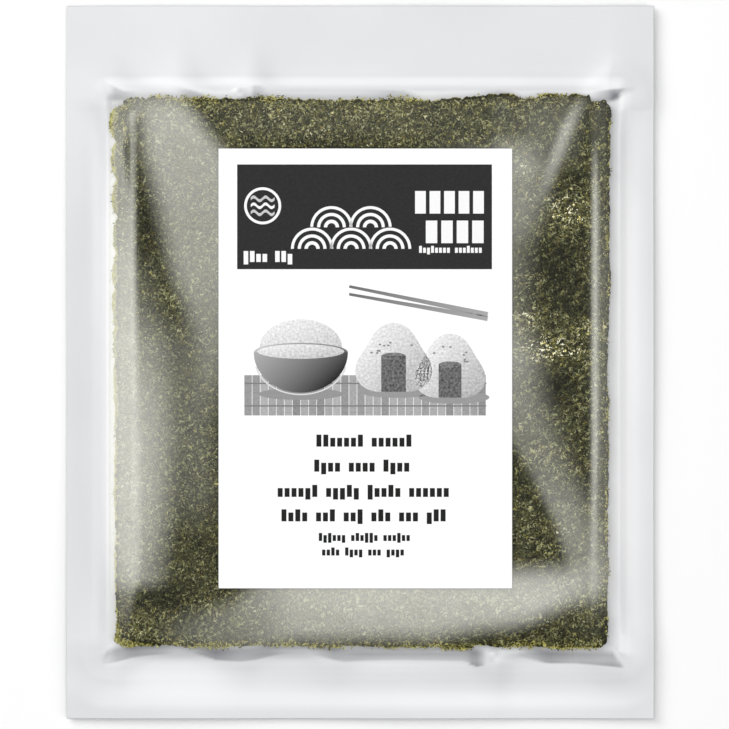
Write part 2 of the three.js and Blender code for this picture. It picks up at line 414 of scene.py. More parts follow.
filmShape = {
    "clearWall": 0.08, "weld": 1.1, "sink": 0.05,  # weld: how far the clear film passes the stack
    "tuck": 1.0, "tuckStart": 0.5, "rim": 2.2,  # its rim goes down into the pale film
    "freeRun": (1.0, 4.0),  # the distances from its rim where it starts to mirror, and mirrors fully
    "seed": 11, "slackRun": 9.0, "labelFade": 5.0, "highlightFade": 2.0,  # widths over which these fade out
    "ledge": 7.6, "ledgeRun": 4.4, "ledgeRound": 0.9,  # the pale film under the edge of the stack
    "ledgeStep": 2.0, "ledgeDrop": 0.7, "ground": 0.15,
    # cells across, then along: the rims, beside the label and over it; the same round the ledge
    "clearLines": (3, 36, 66, 36, 3, 3, 40, 84, 40, 3),
    "paleLines": (56, 96, 56, 104, 24, 76),
    "waves": [(70, 0.08), (52, 0.06), (90, 0.10), (38, 0.03)],  # length, height
    "folds": [  # x and y of both ends, half-width there, height
        (-84.6, 91, -84.6, -59, 1.3, 1.5, 0.25),
        (87.3, 81, 87.0, -78, 1.2, 1.4, 0.25),
        (83, 98, 69, 66, 2.2, 3.2, 0.3),
        (49.4, -108.8, 51.9, -112.4, 0.7, 1.0, 0.5),
        (-49, 103.5, -46, 99.5, 0.7, 1.0, 0.4),
    ],
    # painted highlights on the clear film; they also lighten the flakes below them
    "highlightStrokes": [  # x and y of both ends, half-width there, strength there
        (-84.6, 92, -85.0, 34, 1.2, 1.2, 0.42, 0.36),  # painted highlight on the fold along the left side
        (-85.0, 34, -84.8, -58, 1.2, 1.3, 0.35, 0.25),
    ],
    "highlightBands": [  # way it runs, softness of its two edges, then place on the way, edges, strength
        # painted highlight on the short fold at the top right
        ("y", 3.3, 3.3, [(58, 65, 66, 0), (66, 68.4, 70.2, 0.42), (75, 71.4, 73.9, 0.70),
            (87, 75.7, 78.2, 0.78), (95, 80, 82, 0.46), (100, 83, 84.6, 0.1)]),
        # a faint painted highlight round it
        ("y", 6, 5, [(70, 58, 80, 0), (80, 58, 80, 0.12), (90, 60, 82, 0.13), (101, 62, 84, 0.06)]),
        # painted highlight along the left side, from crisp at its rim to wide and faint
        ("y", 1.5, 1.8, [(-100, -96, -86, 0.05), (-88, -96, -84.5, 0.20), (-80, -96, -82.5, 0.45),
            (-66, -96, -82, 0.70), (-45, -96, -82, 0.86), (0, -96, -83, 0.88), (35, -96, -84, 0.70),
            (60, -96, -84.5, 0.46), (70, -96, -87, 0.42), (80, -96, -88, 0.42), (88, -96, -85.5, 0.3),
            (94, -96, -81.5, 0.25), (101, -96, -81, 0.12)]),
        ("y", 4, 8, [(-86, -100, -78, 0), (-80, -100, -76, 0.42), (-60, -100, -74, 0.52),
            (-30, -100, -73, 0.56), (-10, -100, -74, 0.45), (5, -100, -75, 0.28), (42, -100, -80, 0)]),
        ("y", 3, 6, [(-66, -90, -58, 0), (-50, -90, -54, 0.09), (-17, -90, -56, 0.13),
            (5, -90, -52, 0.11), (20, -90, -52, 0)]),
        # a painted highlight in a fan at the top left
        ("y", 5.5, 6, [(-24, -60, -48, 0), (5, -60, -48, 0.18), (14, -62.5, -46, 0.27),
            (23, -65.5, -45, 0.33), (32, -69, -45, 0.38), (50, -73, -45, 0.41), (68, -77, -47, 0.46),
            (77, -79.3, -50, 0.50), (86, -80.6, -58, 0.56), (92, -81.3, -61.5, 0.56),
            (97, -82.5, -66, 0.42), (103, -83, -68, 0.25)]),
        # a painted highlight in a wedge along the bottom
        ("x", 5.5, 6, [(-78, -107, -97, 0), (-60, -107, -94, 0.18), (-48, -107, -90, 0.26),
            (-38, -106.5, -82, 0.36), (-30, -104.5, -78, 0.52), (-22, -103.5, -77, 0.64),
            (4, -102.5, -78, 0.74), (27, -102, -78, 0.74), (42, -99.5, -78, 0.74),
            (57, -97.5, -78.5, 0.74), (64, -95.5, -78.5, 0.75), (71, -92.5, -78, 0.71),
            (79, -89.5, -77, 0.55), (86, -87, -75, 0.36), (93, -85, -74, 0.1)]),
        # painted highlight on the thin fold along the right side, and a faint one round it
        ("y", 1.1, 1.1, [(-92, 85.4, 87.6, 0), (-84, 85.5, 88.1, 0.28), (-62, 86, 88.2, 0.45),
            (-45, 86.3, 88.3, 0.52), (-30, 86.5, 88.5, 0.70), (20, 86.6, 88.5, 0.72),
            (60, 86.7, 88.5, 0.70), (74, 86.8, 88.1, 0.44), (84, 87, 87.6, 0)]),
        ("y", 2, 2, [(-96, 86, 96, 0), (-80, 86, 96, 0.18), (-10, 86, 96, 0.17), (35, 86, 96, 0.14),
            (62, 86, 96, 0.07)]),
        ("x", 3, 3, [(-62, 84, 100, 0), (-45, 84, 100, 0.03), (50, 84, 100, 0.03), (62, 84, 100, 0)]),
        # a wide faint painted highlight between the label and that fold
        ("y", 3, 8, [(-104, 84, 92, 0), (-90, 80, 92, 0.04), (-78, 78, 92, 0.18), (-70, 76, 90, 0.28),
            (-60, 73, 86, 0.32), (-50, 68, 82, 0.28), (-40, 63, 77, 0.22), (-30, 57, 73.5, 0.20),
            (-20, 52, 69.5, 0.24), (-10, 50, 66, 0.29), (2, 50, 65, 0.38), (10, 50, 62.5, 0.30),
            (20, 50, 60.5, 0.18), (42, 50, 61, 0.20), (50, 50, 64, 0.31), (60, 50, 67, 0.33),
            (72, 50, 68, 0.34), (86, 50, 58, 0.06)]),
        ("x", 3, 5, [(20, 70, 82, 0), (50, 70, 82, 0.12), (62, 70, 82, 0.12), (75, 70, 82, 0)]),
    ],
    "shadeStrokes": [  # the same for the pale film: above 0 painted shade, below 0 painted light
        # painted light along two creases of the film
        (49.4, -108.8, 51.8, -112.3, 0.6, 0.7, -0.6, -0.4),
        (-47.0, 102.2, -44.6, 99.4, 0.5, 0.6, -0.6, -0.6),
        (94.6, 100, 95.8, 90, 2.0, 1.2, 0.3, 0.1),  # painted shadow in the top right corner
        (84, 102, 95, 113, 2.6, 3.4, -0.25, -0.1),  # painted light where the short fold runs on over the border
        # a thin painted shade beside it
        (93.5, 104, 95, 113, 0.8, 0.8, 0.1, 0.04),
    ],
    "shadeBands": [
        # broad painted light below the stack
        ("x", 4, 2, [(-104, -130, -123, 0), (-90, -130, -123, -0.1), (60, -131, -124, -0.2),
            (112, -131, -124, 0)]),
        ("x", 4, 4, [(-104, -124, -115, -0.1), (-85, -124, -115, -0.35), (-60, -124, -115, -0.35),
            (-30, -124, -117, -0.15), (10, -124, -118, 0)]),
        # painted shadows in a row of bays below the stack, crisp at their lower edge
        ("x", 0.5, 1.8, [(-97, -113, -111, 0), (-94.2, -112.6, -107.7, 0.53),
            (-90.9, -112, -106.2, 0.81), (-85, -110.4, -105.2, 0.88), (-76.7, -109.3, -104.7, 0.69),
            (-68.4, -108.5, -104.2, 0.44), (-62.5, -108.7, -104.2, 0.5), (-58.4, -110.1, -105.7, 0.81),
            (-54.2, -111.5, -106.7, 1.06), (-50, -111.8, -106.7, 0.94), (-44.2, -112, -106.7, 0.81),
            (-39.2, -111.4, -106.2, 0.81), (-34.2, -110.1, -105.2, 0.75), (-29.2, -109, -104.7, 0.5),
            (-24.2, -108.7, -104.2, 0.44), (-18.3, -109, -104.7, 0.39), (-14.2, -110.1, -105.2, 0.58),
            (-10, -111.3, -105.7, 0.83), (-5.9, -112.1, -106.7, 0.73), (0.8, -111.8, -106.2, 0.69),
            (14.9, -111.5, -106.2, 0.58), (39.3, -111.9, -106.2, 0.58), (42.4, -113.8, -106.7, 1),
            (44.9, -114.2, -107.2, 0.88), (46.8, -112.5, -106.7, 0.12), (48.6, -112, -106.7, 0.12),
            (50.2, -112.2, -106.7, 0.62), (52, -112, -106.7, 0), (58, -110.4, -106.7, 0),
            (61.1, -110.4, -105.7, 0.38), (64.2, -111.3, -105.7, 0.62), (67.4, -112.2, -106.2, 0.88),
            (70.5, -112.8, -107.2, 1.06), (79.9, -112.8, -107.7, 0.76), (89.2, -113.4, -107.7, 0.81),
            (94.2, -113.8, -108.2, 0.91), (97, -114.1, -111.5, 0.76), (99.2, -114.4, -113.5, 0)]),
        # painted shadow in the top left corner
        ("x", 1, 1.5, [(-96, 93, 99, 0), (-93, 94, 99, 0.4), (-89.5, 95, 99, 0.4), (-87, 96, 99, 0.2),
            (-84, 96, 99, 0)]),
        # painted shadows of its short tents above the stack
        ("x", 1.0, 0.6, [(-97, 98, 105, 0), (-94.4, 98, 104.2, 0.2), (-91.5, 98, 102.8, 0.65),
            (-88.2, 98, 101.4, 0.55), (-84, 98, 101.5, 0.3), (-76, 98, 102, 0.2), (-70, 98, 103, 0.14),
            (-68.2, 98, 103.2, 0.3), (-64, 98, 102, 0.65), (-60, 98, 100.8, 0.6),
            (-57.5, 98, 99.6, 0.15), (-54, 98, 100, 0), (-47, 98, 102.5, 0), (-45, 98, 102.5, 0.5),
            (-43.4, 98, 102.5, 0.5), (-42.4, 98, 102.5, 0), (-41, 98, 103.2, 0.25),
            (-39, 98, 103.6, 0.75), (-37, 98, 103.2, 0.55), (-34, 98, 102, 0.3), (0, 98, 101.8, 0.32),
            (11, 98, 101.8, 0.5), (16.5, 98, 101.5, 0.5), (20, 98, 100.5, 0.3), (23, 98, 100, 0),
            (42, 98, 101, 0), (46, 98, 101.6, 0.15), (52, 98, 101.8, 0.45), (57, 98, 101.2, 0.3),
            (60, 98, 100.5, 0), (86, 96, 100.5, 0), (89, 96.5, 101.3, 0.45), (93.5, 97.5, 102, 0.75),
            (96.5, 98.3, 102.2, 0.85), (98.5, 100, 102.4, 0.5), (104, 101.8, 103, 0)]),
    ],
    "cornerFade": 2.4, "cornerBlend": 2.0,
    "endFades": (0.85, 0.35), "endRun": (-55, -6),  # left and right, and where they fade
    "shadeSides": {  # distance beyond the stack, then the painted shade there, below 0 painted light
        "left": [(-2, -0.6), (0.7, -0.6), (2.2, -0.5), (3.7, -0.22), (5.2, -0.06), (7, 0.06), (12, 0.1),
                 (15, 0.08)],
        "right": [(-2, -0.2), (0, -0.35), (0.8, -0.75), (1.5, -1), (3.0, -1), (4.1, -0.95), (5.6, -0.55),
                  (7.1, -0.35), (9, -0.15), (12, -0.05)],
        "bottom": [(-2, -0.1), (0, -0.2), (1, -0.35), (2.3, -0.55), (3.8, -0.6), (5.3, -0.35),
                   (6.8, -0.05), (9, 0.07), (12, 0.05), (14, -0.05), (17, -0.15), (20, -0.22), (23, 0)],
        "top": [(-2, -0.1), (1, -0.3), (2.4, -0.45), (4, -0.5), (5.5, -0.32), (7, 0.02), (9, 0)],
    },
}


def foldHeight(x, y):
    # Sum of the folds, each a ridge that is widest at one end.
    return sum(height * strokeShare(x, y, *line)[0] for *line, height in filmShape["folds"])


def softShapes(x, y, strokes, bands):
    # The strength of each soft stroke, and of each band: it runs along y or x with a low and a high
    # edge on either side, and its edges and strength go in straight lines from station to station.
    strengths = []
    for *line, startStrength, endStrength in strokes:
        bell, share = strokeShare(x, y, *line)
        strengths.append(bell * (startStrength + (endStrength - startStrength) * share))
    for way, lowSoft, highSoft, stations in bands:
        run, side = (y, x) if way == "y" else (x, y)
        places, lows, highs, heights = np.array(stations).T
        low, high = np.interp(run, places, lows), np.interp(run, places, highs)
        inside = smoothShare(side, low - lowSoft, low + lowSoft)
        inside = inside * (1 - smoothShare(side, high - highSoft, high + highSoft))
        strengths.append(inside * np.interp(run, places, heights))
    return strengths


def shadeShare(x, y):
    # The painted shade of the pale film, and below 0 its painted light: its strokes and bands, and a
    # run of its own beyond each side of the stack. At a corner two sides blend by the squares of the
    # distances beyond them, w and 1 - w, and both fade by a share that is in proportion to w (1 - w).
    # Left and right fade towards their ends too.
    across, along, distance = outside(x, y)
    beyond = np.where(distance > 0, distance, np.maximum(across, along))
    outX, outY = np.maximum(across, 0) ** 2, np.maximum(along, 0) ** 2
    overStack = smoothShare(across - along, -filmShape["cornerBlend"], filmShape["cornerBlend"])
    sideways = np.where(distance > 0, outX / np.maximum(outX + outY, 1e-9), overStack)
    endFade = np.where(x < middleX, *filmShape["endFades"]) * smoothShare(along, *filmShape["endRun"])
    fade = (1 - filmShape["cornerFade"] * sideways * (1 - sideways)) * (1 - endFade * sideways)
    shade = np.sum(softShapes(x, y, filmShape["shadeStrokes"], filmShape["shadeBands"]), 0)
    for side, isHere, isSideways in packSides(x, y):
        weight = sideways if isSideways else 1 - sideways
        shade = shade + isHere * weight * fade * between(beyond, filmShape["shadeSides"][side])
    return shade


def paintedHighlightShare(x, y):
    # Painted soft highlights laid over each other, so that two halves give three quarters: 1 - (1-a)(1-b).
    # They fade out at the stack's outline.
    shapes = softShapes(x, y, filmShape["highlightStrokes"], filmShape["highlightBands"])
    across, along, distance = outside(x, y)
    together = 1 - np.prod([1 - strength for strength in shapes], 0)
    return together * smoothShare(-np.maximum(across, along), 0, filmShape["highlightFade"])


def underLabel(x, y):
    # 1 under the label, fading to 0 outside it.
    away = np.maximum(np.maximum(labelLow[0] - x, x - labelHigh[0]),
                      np.maximum(labelLow[1] - y, y - labelHigh[1]))
    return 1 - smoothShare(away, 0, filmShape["labelFade"])


def filmTop(x, y):
    # The outside of the films: the pack's top with folds and slow waves, smooth under the label.
    rng = np.random.default_rng(filmShape["seed"])
    across, along, distance = outside(x, y)
    inner = smoothShare(-np.maximum(across, along), 0, filmShape["slackRun"])
    slack = foldHeight(x, y) + areaWaves(x, y, filmShape["waves"], rng) * inner
    return packTop(x, y) + slack * (1 - underLabel(x, y))


def lineSpaces(places, cells):
    # Grid lines over several stretches, each with its own number of cells.
    parts = [np.linspace(low, high, count, endpoint=False)
             for low, high, count in zip(places, places[1:], cells)]
    return np.concatenate(parts + [places[-1:]])


def makeClearFilm():
    # The clear film lies over the stack and runs a little down its sides, where its rim is tucked
    # into the pale film.
    weld, rim, lines = filmShape["weld"], filmShape["rim"], filmShape["clearLines"]
    lowX, highX = middleX - (halfWidth + weld), middleX + (halfWidth + weld)
    lowY, highY = middleY - (halfLength + weld), middleY + (halfLength + weld)
    xs = lineSpaces([lowX, lowX + rim, labelLow[0], labelHigh[0], highX - rim, highX], lines[:5])
    ys = lineSpaces([lowY, lowY + rim, labelLow[1], labelHigh[1], highY - rim, highY], lines[5:])
    x, y = np.meshgrid(xs, ys)
    z = filmTop(x, y) - filmShape["tuck"] * smoothShare(outside(x, y)[2], filmShape["tuckStart"], weld)
    inside = np.minimum(np.minimum(x - lowX, highX - x), np.minimum(y - lowY, highY - y))
    film = makeMesh("clearFilm", np.stack([x, y, z], -1), gridFaces(*x.shape),
                    {"paintedHighlight": paintedHighlightShare(x, y), "free": smoothShare(inside, *filmShape["freeRun"])})
    return finishPiece(thicken(film, filmShape["clearWall"]), clearFilmMaterial(), "pouch")


def makePaleFilm():
    # A closed body. Its top is the pack's side and border; under the edge of the stack it turns
    # into a ledge, by the soft minimum -k log(exp(-a/k) + exp(-b/k)), which drops to the ground
    # further in. Its underside is the pack's underside, and has no shade.
    lines, run, soft = filmShape["paleLines"], filmShape["ledgeRun"], filmShape["ledgeRound"]
    inX, inY = halfWidth - run - filmShape["ledgeStep"], halfLength - run - filmShape["ledgeStep"]
    xs = lineSpaces([pouchLow[0], middleX - inX, middleX + inX, pouchHigh[0]], lines[:3])
    ys = lineSpaces([pouchLow[1], middleY - inY, middleY + inY, pouchHigh[1]], lines[3:])
    x, y = np.meshgrid(xs, ys)
    across, along, distance = outside(x, y)
    low = undersideHeight(x, y)
    side = filmTop(x, y) - filmShape["sink"]
    side = -soft * np.logaddexp(-side / soft, -filmShape["ledge"] / soft)
    share = smoothShare(np.maximum(across, along), -run - filmShape["ledgeDrop"], -run)
    high = low + filmShape["ground"] + (side - low - filmShape["ground"]) * share
    rows, columns = x.shape
    count = rows * columns
    top = gridFaces(rows, columns)
    number = np.arange(count).reshape(rows, columns)
    loop = np.concatenate([number[0, :-1], number[:-1, -1], number[-1, :0:-1], number[:0:-1, 0]])
    after = np.roll(loop, -1)
    rim = np.stack([loop + count, after + count, after, loop], -1)
    points = np.concatenate([np.stack([x, y, level], -1).reshape(-1, 3) for level in (high, low)])
    film = makeMesh("paleFilm", points, np.concatenate([top, top[:, ::-1] + count, rim]),
                    {"shade": np.concatenate([shadeShare(x, y).ravel(), np.zeros(count)])})
    return finishPiece(film, paleFilmMaterial(), "pouch")


seaweed = {
    # the top sheet's corners, anticlockwise from the bottom left one, and the lower sheets'
    "topCorners": [(-90.9, -105.5), (91.2, -105.9), (92.8, 100.2), (-90.4, 98.4)],
    "lowerCorners": [(-90.3, -105.0), (91.2, -105.4), (92.6, 96.4), (-92.6, 95.6)],
    "corner": 3.0, "thickness": 0.24, "clear": 0.7,  # clear: how far the top sheet is below the film
    "topPoints": 4000, "loosePoints": 1400, "hiddenPoints": 150, "topSeed": 21, "lowerSeed": 5,
    "lobeStart": 88.7, "lobeLength": 13.7, "lobeDepth": 2.9,  # bays in the lower sheets' left side
    "lobeSide": (80, 88), "lobeRun": (-10, 60), "lobeSlide": 0.4,
    "loose": 7, "hidden": 28, "crumbed": 3, "hiddenInset": 4.0, "jitter": 0.5, "bottom": 0.35, "gap": 0.1,
    "rings": (0.3, 0.6, 0.8, 0.9, 0.96, 0.982, 1.0),  # shares of a sheet's half-size
    "looseRings": (0.8, 0.96, 0.985, 1.0), "hiddenRings": (0.8, 1.0),
    "rim": 0.012, "looseRim": 0.035,  # the same for its thin rim
    "edgeGains": {"top": (-0.5, -0.2), "lower": (0.5, -0.2)}, "edgeRun": (84, 88),  # left, right
    "ragged": [(90, 0.45), (260, 0.5), (700, 0.4), (1700, 0.25)],  # knots round it, depth
    "scallops": [(48, 1.9), (130, 0.6), (300, 0.4), (700, 0.3)], "scallopLevel": 1.9,
    "steps": {  # places along each side of the top sheet, and how far it steps in there
        "left": [(-100, 0.3), (-60, 0), (-20, 0.4), (20, 0), (64, 0.3), (71, 1), (73, 2.6), (99, 3)],
        "right": [(-104, 1), (-95, 0.3), (-60, 0.2), (-30, 0.6), (0, 0.2), (40, 0), (60, 0.6), (75, 0.2),
                  (90, 0.6)],
        "top": [(-90, 0.2), (-86, -0.4), (-75, -0.1), (-60, 0.6), (-20, 0.7), (-4, 1.7), (11, 1.9),
                (32, 1.5), (40, 0.9), (46, 0.1), (56, 0), (64, 1.1), (72, 0.3), (81, 0), (85.3, 0.7),
                (86.2, 4), (91, 4.8)],
        "bottom": [(-90, 1), (-85, 1), (-77, 0.2), (-60, 0.5), (-50, 0.7), (-43, 1.5), (-38, 0.2),
                   (-26, 1.3), (-18, 0.6), (-8, 0), (0, 0.8), (11, 0.3), (17, -0.4), (24, -0.5),
                   (29, 1.1), (32, 0.4), (36, -0.7), (41, -0.5), (45.8, 0.8), (48, -0.3), (52.8, -0.6),
                   (57.3, 0.8), (64, 1.4), (68.4, 0.8), (70.3, -0.4), (76.5, -0.5), (81.4, -0.8),
                   (88.9, -0.4), (91, 1)],
    },
}
sheetSides = {"bottom": (0, -1), "right": (1, 0), "top": (0, 1), "left": (-1, 0)}


def sheetOutline(corners, radius, count):
    # Even points round a polygon whose corners are rounded by parabolas, and the outward normals.
    share = np.linspace(0, 1, 9)[:, None]  # nine points on each parabola
    corners = np.array(corners, float)
    parts = []
    for number, corner in enumerate(corners):
        before = corners[number - 1] - corner
        after = corners[(number + 1) % len(corners)] - corner
        start = corner + before / np.hypot(*before) * radius
        end = corner + after / np.hypot(*after) * radius
        parts.append(start * (1 - share) ** 2 + 2 * corner * share * (1 - share) + end * share ** 2)
    path = np.concatenate(parts + [parts[0][:1]])
    run = np.concatenate([[0], np.cumsum(np.hypot(*np.diff(path, axis=0).T))])
    place = np.linspace(0, run[-1], count, endpoint=False)
    points = np.stack([np.interp(place, run, path[:, 0]), np.interp(place, run, path[:, 1])], -1)
    tangent = np.roll(points, -1, 0) - np.roll(points, 1, 0)
    normal = np.stack([tangent[:, 1], -tangent[:, 0]], -1)
    return points, normal / np.hypot(*normal.T)[:, None]


def stepDepth(side, x, y):
    # How far one side of the top sheet steps in, in straight lines from place to place.
    return between(y if side in ("left", "right") else x, seaweed["steps"][side])


def lobeDepth(x, y):
    # How far the lower sheets' left side steps in between its lobes, of the shape 1 - |cos|^0.5.
    wave = np.abs(np.cos((y - seaweed["lobeStart"]) * np.pi / seaweed["lobeLength"]))
    fade = smoothShare(-x, *seaweed["lobeSide"]) * smoothShare(y, *seaweed["lobeRun"])
    return seaweed["lobeDepth"] * fade * (1 - np.sqrt(wave))


def insideSheet(x, y, key):
    # How far a point is inside a sheet: its distance from the nearest of the four sides, less how
    # far that side steps in.
    corners = np.array(seaweed[key])
    inside = []
    for number, side in enumerate(sheetSides):
        (startX, startY), (endX, endY) = corners[number], corners[(number + 1) % 4]
        length = math.hypot(endX - startX, endY - startY)
        out = ((x - startX) * (endY - startY) - (y - startY) * (endX - startX)) / length
        inside.append(-out - (stepDepth(side, x, y) if key == "topCorners" else 0))
    inside[-1] = inside[-1] - (lobeDepth(x, y) if key == "lowerCorners" else 0)
    return np.min(inside, 0)


def sheetRoom(x, y):
    # Height of the top sheet: below the film, and level with it where the stack ends.
    return stackTop(*keepInside(x, y)) + packShape["flangeThickness"] - seaweed["clear"]


def sheetBody(outline, rings, level, rim):
    # One sheet as a closed body. Rings shrink its torn outline towards the middle, and top and
    # underside follow the stack's top, lowered to the sheet's level between 0 and 1.
    outline = np.stack(keepInside(*outline.T, seaweed["gap"]), -1)
    count = len(outline)
    middle = outline.mean(0)
    shares = np.array(rings)[:, None, None]
    plan = np.concatenate([[middle], (middle + (outline - middle) * shares).reshape(-1, 2)])
    x, y = plan.T
    high = seaweed["bottom"] + (sheetRoom(x, y) - seaweed["bottom"]) * level
    left, right = seaweed["edgeGains"]["lower" if level < 1 else "top"]
    gain = 1 + left * smoothShare(-x, *seaweed["edgeRun"]) + right * smoothShare(x, *seaweed["edgeRun"])
    edge = np.repeat(np.clip((np.array(rings) - 1) / rim + 1, 0, 1), count)
    edge = np.concatenate([[0], edge]) * gain
    total = len(x)
    ring = 1 + np.arange(count)
    fan = np.stack([np.zeros(count, int), ring, np.roll(ring, -1)], -1)
    walls = gridFaces(len(rings), count, closed=True)[:, ::-1] + 1
    last = ring + (len(rings) - 1) * count
    side = np.stack([last, last + total, np.roll(last, -1) + total, np.roll(last, -1)], -1)
    triangles = np.concatenate([fan, fan[:, ::-1] + total])
    quads = np.concatenate([walls, walls[:, ::-1] + total, side])
    points = np.concatenate([np.stack([x, y, z], -1) for z in (high, high - seaweed["thickness"])])
    return points, triangles, quads, np.tile(edge, 2)


def joinBodies(name, bodies, material):
    # One piece from several bodies, whose point numbers are moved past those before them.
    starts = np.cumsum([0] + [len(body[0]) for body in bodies])
    faces = [np.concatenate([body[kind] + start for body, start in zip(bodies, starts)]) for kind in (1, 2)]
    piece = makeMesh(name, np.concatenate([body[0] for body in bodies]), faces,
                     {"edge": np.concatenate([body[3] for body in bodies])})
    return finishPiece(piece, material, "pouch")


def makeLowerSheets(material):
    # Most sheets are hidden between the films. The last few below the top one show at its edge:
    # each is a little out of line, with a scalloped outline. On the left it has a row of lobes.
    # Gives the outlines of the uppermost ones, which crumbs lie along.
    rng = np.random.default_rng(seaweed["lowerSeed"])
    lowest, shown = seaweed["hidden"], seaweed["hidden"] + seaweed["loose"]
    corners = np.array(seaweed["lowerCorners"])
    inner = corners - np.sign(corners) * seaweed["hiddenInset"]
    outline = sheetOutline(inner, seaweed["corner"], seaweed["hiddenPoints"])[0]
    hidden = [sheetBody(outline, seaweed["hiddenRings"], (number + 1) / (shown + 1), seaweed["rim"])
              for number in range(lowest)]
    joinBodies("hiddenSheets", hidden, material)
    loose, outlines = [], []
    for number in range(lowest, shown):
        count = seaweed["loosePoints"]
        moved = corners + rng.uniform(-1, 1, (4, 2)) * seaweed["jitter"]
        outline, normal = sheetOutline(moved, seaweed["corner"], count)
        scallop = sum(depth * np.sqrt(np.abs(loopNoise(count, knots, rng)))
                      for knots, depth in seaweed["scallops"])
        outline = outline + normal * (scallop[:, None] - seaweed["scallopLevel"])
        slide = rng.uniform(-1, 1) * seaweed["lobeSlide"]
        outline[:, 0] += lobeDepth(outline[:, 0], outline[:, 1] + slide)
        outlines.append(outline)
        level = (number + 1) / (shown + 1)
        loose.append(sheetBody(outline, seaweed["looseRings"], level, seaweed["looseRim"]))
    joinBodies("looseSheets", loose, material)
    return np.concatenate(outlines[-seaweed["crumbed"]:])


def makeTopSheet(material):
    # The top sheet has a finely torn outline, which steps in at some places. Gives that outline.
    rng = np.random.default_rng(seaweed["topSeed"])
    count = seaweed["topPoints"]
    outline, normal = sheetOutline(seaweed["topCorners"], seaweed["corner"], count)
    tear = sum(depth * loopNoise(count, knots, rng) for knots, depth in seaweed["ragged"])
    for side, out in sheetSides.items():
        tear = tear - stepDepth(side, *outline.T) * np.clip(normal @ np.array(out, float), 0, 1)
    outline = outline + normal * tear[:, None]
    joinBodies("topSheet", [sheetBody(outline, seaweed["rings"], 1.0, seaweed["rim"])], material)
    return outline


flakeShape = {
    "kinds": [  # name, count, seed, mean length, widths, powers of the tones' beta curve, colours
        ("flakes", 44000, 33, 1.0, (0.5, 1.1), (0.9, 1.8), "flakeColours"),
        ("specks", 40000, 34, 0.5, (0.3, 0.7), (0.7, 1.4), "flakeColours"),
        ("fibres", 1800, 35, 3.2, (0.15, 0.3), (1.2, 2.0), "fibreColours"),
    ],
    "corners": [  # along the length, across it and up, as shares of a flake's sizes
        (-0.5, -0.2, 0.0), (0.5, -0.1, 0.3), (0.05, 0.7, 0.0), (0.05, 0.1, 1.0),
    ],
    "uneven": (0.18, 0.3),  # how far the corners are moved, along and across
    "shortest": 0.35, "lengthPower": 2.5, "rises": (0.08, 0.32),
    "inset": 0.9, "lowerInset": 0.25,  # least distance from the edge of the top and a lower sheet
    "sink": 0.03, "lowerSink": 0.33,
    "patches": [(2.6, 0.09), (3.1, 0.09), (3.7, 0.08), (4.6, 0.08), (5.5, 0.07), (7.1, 0.06), (9, 0.06),
                (12, 0.06), (17, 0.05), (26, 0.05), (38, 0.05)],  # length, height
    "patchGain": (1.1, 0.9), "patchRun": (20, 60), "patchSeed": 8,  # everywhere, more at the right
    # The first gain: how much lighter the flakes are painted under the film's painted highlights.
    "highlightGain": 0.35, "lobeGain": (0.35, 0.3), "lobeRun": (89.5, 92),  # tone and gold of the lobes
    "glintGain": 4.8, "glintPower": 6,  # few flakes of a glint are much lighter
    "golds": (0.5, 1.7), "goldGlint": 0.8,
    "glints": [  # x, y, half-width, half-length, how much lighter some flakes are, or below 0 all darker
        (70, 4.6, 14, 4.6, 0.72), (78, 56, 8, 5.5, 0.68), (60, 72, 5, 3, 0.4), (85, 12, 6, 3, 0.6),
        (62, 16, 7, 3, 0.5), (76, -62, 8, 4, 0.3), (-10, 90, 60, 10, 0.2), (-84, -100, 9, 5, 0.25),
        (74, 36, 7, 13, -0.4), (73, -8, 6, 8, -0.3), (-79, 52, 5, 16, -0.2), (-74, -88, 10, 6, -0.2),
    ],
}


def chips(x, y, z, length, width, rise, tone, rng):
    # Flat four-cornered bodies with random headings: two ends, one side and a raised back, each
    # moved at random, all in whole arrays.
    heading = rng.uniform(0, 2 * np.pi, len(x))
    cos, sin = np.cos(heading), np.sin(heading)
    corners = []
    for along, side, up in flakeShape["corners"]:
        shift = rng.uniform(-1, 1, (2, len(x))) * np.array(flakeShape["uneven"])[:, None]
        a, b = length * (along + shift[0]), width * (side + shift[1])
        corners.append(np.stack([x + a * cos - b * sin, y + a * sin + b * cos, z + up * rise], -1))
    points = np.stack(corners, 1).reshape(-1, 3)
    first = 4 * np.arange(len(x))[:, None]
    orders = [(0, 2, 1), (0, 1, 3), (1, 2, 3), (2, 0, 3)]
    faces = np.concatenate([first + np.array(order) for order in orders])
    return points, faces, np.repeat(tone, 4)


def glintShare(x, y):
    # How much lighter or darker the flakes are: an elliptic bell curve at each glint.
    return sum(gain * np.exp(-((x - midX) / halfX) ** 2 - ((y - midY) / halfY) ** 2)
               for midX, midY, halfX, halfY, gain in flakeShape["glints"])


